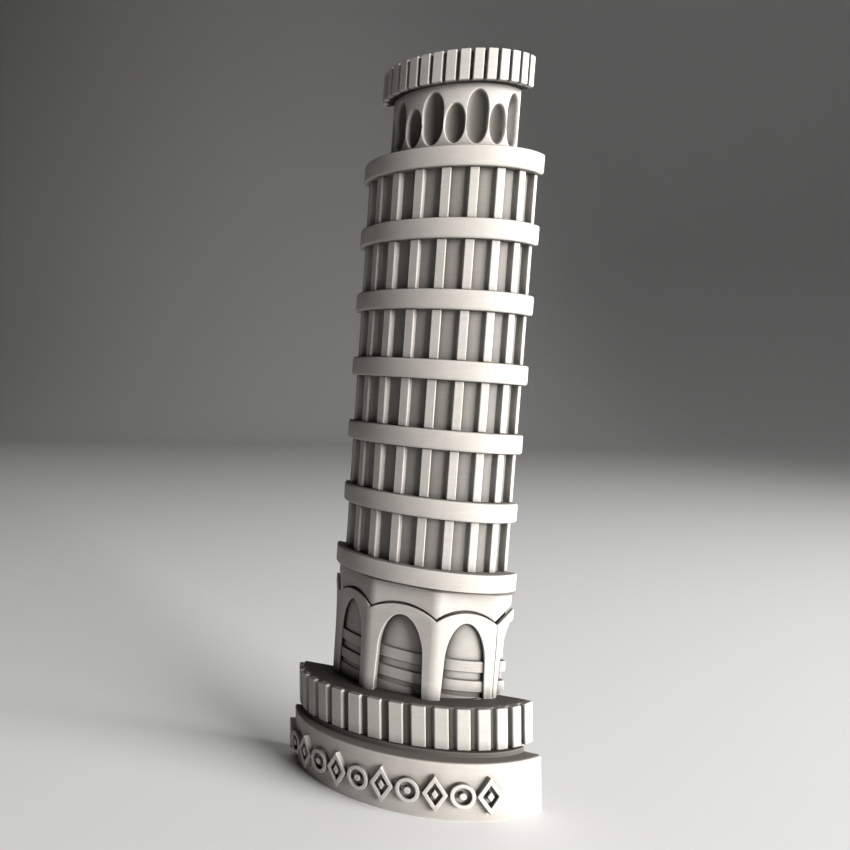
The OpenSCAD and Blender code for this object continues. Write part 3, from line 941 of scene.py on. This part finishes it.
bm = bmesh.new()
prism(bm, outline_of(LIP_R, LIP_END_X), OCTAGON_TOP, FIRST_LOW, tower)
lip = to_object("octagon_lip", bm, bevel=0.1, angle=40)
# the lip under the cornice gets the darker copy, painted shade
finish_piece(lip, "octagon_cap", "cornice_stone", groove_shade_stone)

bm = bmesh.new()
half_round(bm, eased(FIRST_R, FIRST_LOW, FIRST_TOP, 0.16, 3), tower, TOWER_BACK)
first_cornice = to_object("first_cornice", bm, bevel=0.1, angle=40)
finish_piece(first_cornice, "cornice_1", "cornice_stone")

# %% [markdown]
# Six galleries follow, all alike: a drum, ten square-edged pilasters standing out from it, and a
# plain cornice with rounded edges on top. A loop makes them, one set of pieces for each storey.

# %% The galleries
CORNICE_R = 13.5
CORNICE_T = 2.65
GALLERY_START, GALLERY_PITCH = 29.85, 9.19
DRUM_R = 11.65
PILASTER_R, PILASTER_W = 12.7, 1.35
PILASTER_START, PILASTER_PITCH = 10.3, 17.7


def cornice_low(i):
    return GALLERY_START + (i - 2) * GALLERY_PITCH


def cornice_top(i):
    return FIRST_TOP if i == 1 else cornice_low(i) + CORNICE_T


for storey in range(1, 7):
    low, high = cornice_top(storey), cornice_low(storey + 1)
    bm = bmesh.new()
    half_round(bm, [(DRUM_R, low), (DRUM_R, high)], tower, TOWER_BACK)
    wall = to_object(f"gallery_wall_{storey}", bm, bevel=0)
    # the walls get the darker copy, painted shade
    finish_piece(wall, f"gallery_drum_{storey}", "core_stone", wall_shade_stone)

    bm = bmesh.new()
    for j in range(10):
        turn = radians(PILASTER_START + PILASTER_PITCH * j)
        block(bm, tower, turn, PILASTER_W / 2, DRUM_R - 0.5, PILASTER_R, low, high)
    cut_flat_back(bm)
    row = to_object(f"gallery_pilaster_row_{storey}", bm, bevel=0.12)
    finish_piece(row, f"gallery_pilasters_{storey}", "relief_stone")

for i in range(2, 8):
    bm = bmesh.new()
    half_round(bm, eased(CORNICE_R, cornice_low(i), cornice_top(i), 0.4), tower, TOWER_BACK)
    cornice = to_object(f"gallery_cornice_{i}", bm, bevel=0.12, angle=40)
    finish_piece(cornice, f"cornice_{i}", "cornice_stone")

# %% [markdown]
# The belfry drum is scooped out with tall and short niches by turns. Scoops could be cut out
# with ellipsoids, but their rims would be razor sharp. Here the drum is one fine grid, and each
# point is pushed in by the depth of the scoop it falls in, with the rim blended over a tenth of a
# millimetre. Each point also keeps how deep it lies, which the stone uses for painted shade.

# %% The belfry
BELFRY_R = 9.6
CROWN_LOW = 87.1
belfry_low = cornice_top(7)
# angle, half width, lower end and upper end of each niche
NICHES = [(21.5, 1.42, belfry_low + 0.9, CROWN_LOW - 0.75)]
NICHES += [(20.8 + 38.5 * j, 1.6, belfry_low + 0.9, CROWN_LOW - 0.75) for j in (1, 2, 3)]
NICHES += [(39.8 + 38.5 * j, 1.48, belfry_low + 1.0, CROWN_LOW - 2.45) for j in range(4)]
NICHE_END = 2.6
NICHE_DEPTH = 1.55
RIM = 0.05


def niche_scoop(a, s):
    """How deep the niches go into the belfry drum at an angle and a height."""
    r = BELFRY_R
    scoop = 0
    for degrees_round, half, low, high in NICHES:
        x = (a - radians(degrees_round)) * r / half
        if abs(x) > 1.3:
            continue
        beyond = max(0, low + NICHE_END - s, s - (high - NICHE_END)) / NICHE_END
        inside = 1 - x * x - beyond * beyond
        depth = NICHE_DEPTH * inside ** 0.42 if inside > 0 else inside * 3
        scoop = max(scoop, (depth + hypot(depth, RIM)) / 2)
    return scoop


bm = bmesh.new()
hollow_layer = bm.verts.layers.float.new("hollow")
ROUND_STEPS, UP_STEPS = 420, 110
grid = []
for j in range(UP_STEPS + 1):
    s = belfry_low + (CROWN_LOW - belfry_low) * j / UP_STEPS
    first = asin(TOWER_BACK / BELFRY_R)
    row_points = []
    for k in range(ROUND_STEPS + 1):
        a = first + (pi - 2 * first) * k / ROUND_STEPS
        scoop = niche_scoop(a, s)
        r = BELFRY_R - scoop
        v = TOWER_BACK if k in (0, ROUND_STEPS) else max(r * sin(a), TOWER_BACK)
        point = bm.verts.new(tower(r * cos(a), v, s))
        # how deep the point lies, which the stone turns into painted shade
        point[hollow_layer] = min(1, max(0, scoop - 0.06) / 0.5)
        row_points.append(point)
    grid.append(row_points)
close_rows(bm, grid)
belfry = to_object("belfry_niches", bm, bevel=0)
finish_piece(belfry, "belfry_drum", "relief_stone")

# %% [markdown]
# The crown repeats the balustrade on a smaller scale: a ring with upright blocks round it.

# %% The crown
CROWN_R = 11.4
CROWN_GROOVE = 0.55
CROWN_BLOCK_START, CROWN_BLOCK_PITCH, CROWN_BLOCK_HALF = 15.5, 9.73, 0.72
crown_ring_r = CROWN_R - CROWN_GROOVE

bm = bmesh.new()
half_round(bm, eased(crown_ring_r, CROWN_LOW, CROWN_TOP - 0.2, 0.1, 2), tower, TOWER_BACK)
crown = to_object("crown_drum", bm, bevel=0.08, angle=40)
# the crown ring gets the darker copy, painted shade
finish_piece(crown, "crown_ring", "cornice_stone", groove_shade_stone)

bm = bmesh.new()
for j in range(17):
    turn = radians(CROWN_BLOCK_START + CROWN_BLOCK_PITCH * j)
    block(bm, tower, turn, CROWN_BLOCK_HALF, crown_ring_r - 0.5, CROWN_R, CROWN_LOW, CROWN_TOP)
cut_flat_back(bm)
crown_row = to_object("crown_block_row", bm, bevel=0.13)
finish_piece(crown_row, "crown_blocks", "relief_stone")

# %% [markdown]
# The keepsake stands on a plain pale floor that sweeps up far behind it. One large soft light
# comes low from the right, so that the right ends glow and the left side falls into shade. A
# second one, high up behind, lights the floor, and what the floor throws back, with a very weak
# warm surround, keeps the shaded side readable.

# %% The floor and the lights
def pale_floor():
    """A pale floor sheet that curves up into a backdrop."""
    sheet = bmesh.new()
    reach, radius, wide, rise = 0.9, 0.35, 2.2, 1.4
    bend = [(reach + radius * sin(a), radius - radius * cos(a)) for a in [pi / 2 * k / 16 for k in range(17)]]
    line = [(-1.6, 0.0)] + bend + [(reach + radius, rise)]
    left = [sheet.verts.new((-wide, y, z)) for y, z in line]
    right_side = [sheet.verts.new((wide, y, z)) for y, z in line]
    for k in range(len(line) - 1):
        sheet.faces.new((left[k], right_side[k], right_side[k + 1], left[k + 1]))
    mesh = bpy.data.meshes.new("floor")
    sheet.to_mesh(mesh)
    sheet.free()
    made = bpy.data.objects.new("floor", mesh)
    for f in mesh.polygons:
        f.use_smooth = True
    bpy.context.scene.collection.objects.link(made)
    paint = bpy.data.materials.new("pale floor")
    paint.use_nodes = True
    tree = paint.node_tree
    shader = tree.nodes["Principled BSDF"]
    shader.inputs["Roughness"].default_value = 0.85
    cloudy = tree.nodes.new("ShaderNodeTexNoise")
    cloudy.inputs["Scale"].default_value = 3.0
    shades = tree.nodes.new("ShaderNodeValToRGB")
    shades.color_ramp.elements[0].color = (0.66, 0.66, 0.655, 1)
    shades.color_ramp.elements[1].color = (0.7, 0.7, 0.695, 1)
    tree.links.new(cloudy.outputs["Fac"], shades.inputs["Fac"])
    tree.links.new(shades.outputs["Color"], shader.inputs["Base Color"])
    mesh.materials.append(paint)
    made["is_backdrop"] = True
    return made


def soft_light(name, azimuth, elevation, distance, size, power, colour, spread):
    """A square soft light aimed at the middle of the tower, azimuth from the front towards +X."""
    data = bpy.data.lights.new(name, "AREA")
    data.shape = "SQUARE"
    data.size = size
    data.energy = power
    data.color = colour
    data.spread = radians(spread)
    lamp = bpy.data.objects.new(name, data)
    a, e = radians(azimuth), radians(elevation)
    aim = Vector((0.004, -0.003, 0.05))
    away = Vector((sin(a) * cos(e), -cos(a) * cos(e), sin(e)))
    lamp.location = aim + away * distance
    lamp.rotation_mode = "QUATERNION"
    lamp.rotation_quaternion = (-away).to_track_quat("-Z", "Y")
    lamp.visible_camera = False
    bpy.context.scene.collection.objects.link(lamp)
    return lamp


pale_floor()
soft_light("key from the right", 81, 3, 0.6, 0.4, 7.9, (1.0, 0.995, 0.98), 100)
soft_light("light on the floor", 180, 70, 2.4, 2.4, 14.0, (1.0, 1.0, 1.0), 180)
world = bpy.data.worlds.new("studio")
world.use_nodes = True
world.node_tree.nodes["Background"].inputs["Color"].default_value = (0.95, 0.9, 0.84, 1)
world.node_tree.nodes["Background"].inputs["Strength"].default_value = 0.02
bpy.context.scene.world = world
bpy.context.scene.view_settings.view_transform = "Standard"
print("floor and lights ready")

# %% Check the size
low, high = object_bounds()
print("visual box in mm:", [round((b - a) * 1000, 2) for a, b in zip(low, high)])
